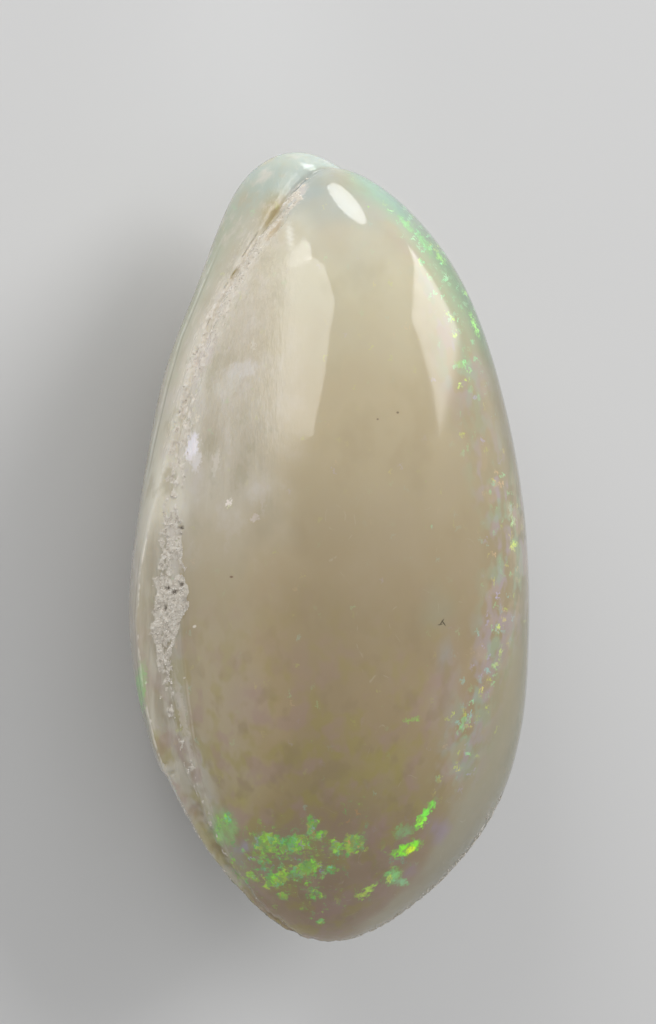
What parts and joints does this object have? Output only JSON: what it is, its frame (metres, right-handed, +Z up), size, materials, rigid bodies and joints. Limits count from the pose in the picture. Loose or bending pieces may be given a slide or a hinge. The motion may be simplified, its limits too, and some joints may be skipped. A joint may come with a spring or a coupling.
{
  "type": "opalised fossil clam",
  "caption": "Milky opal cast of a closed clam, beaks at one end, chalky seam along the hinge side, worn flat to lie on.",
  "frame": {"origin": "centre of the bounding box at its base, in the plane the stone lies on", "axes": "+Y towards the beaks, -X towards the hinge side, +X towards the free margin, +Z up out of the upper valve's crown"},
  "size_m": [0.0222, 0.042, 0.0192],
  "materials": {
    "milky_opal": "polished, milky and translucent, with faint play of colour"
  },
  "bodies": {
    "root": {"opal_clam": "milky_opal"}
  },
  "joints": []
}
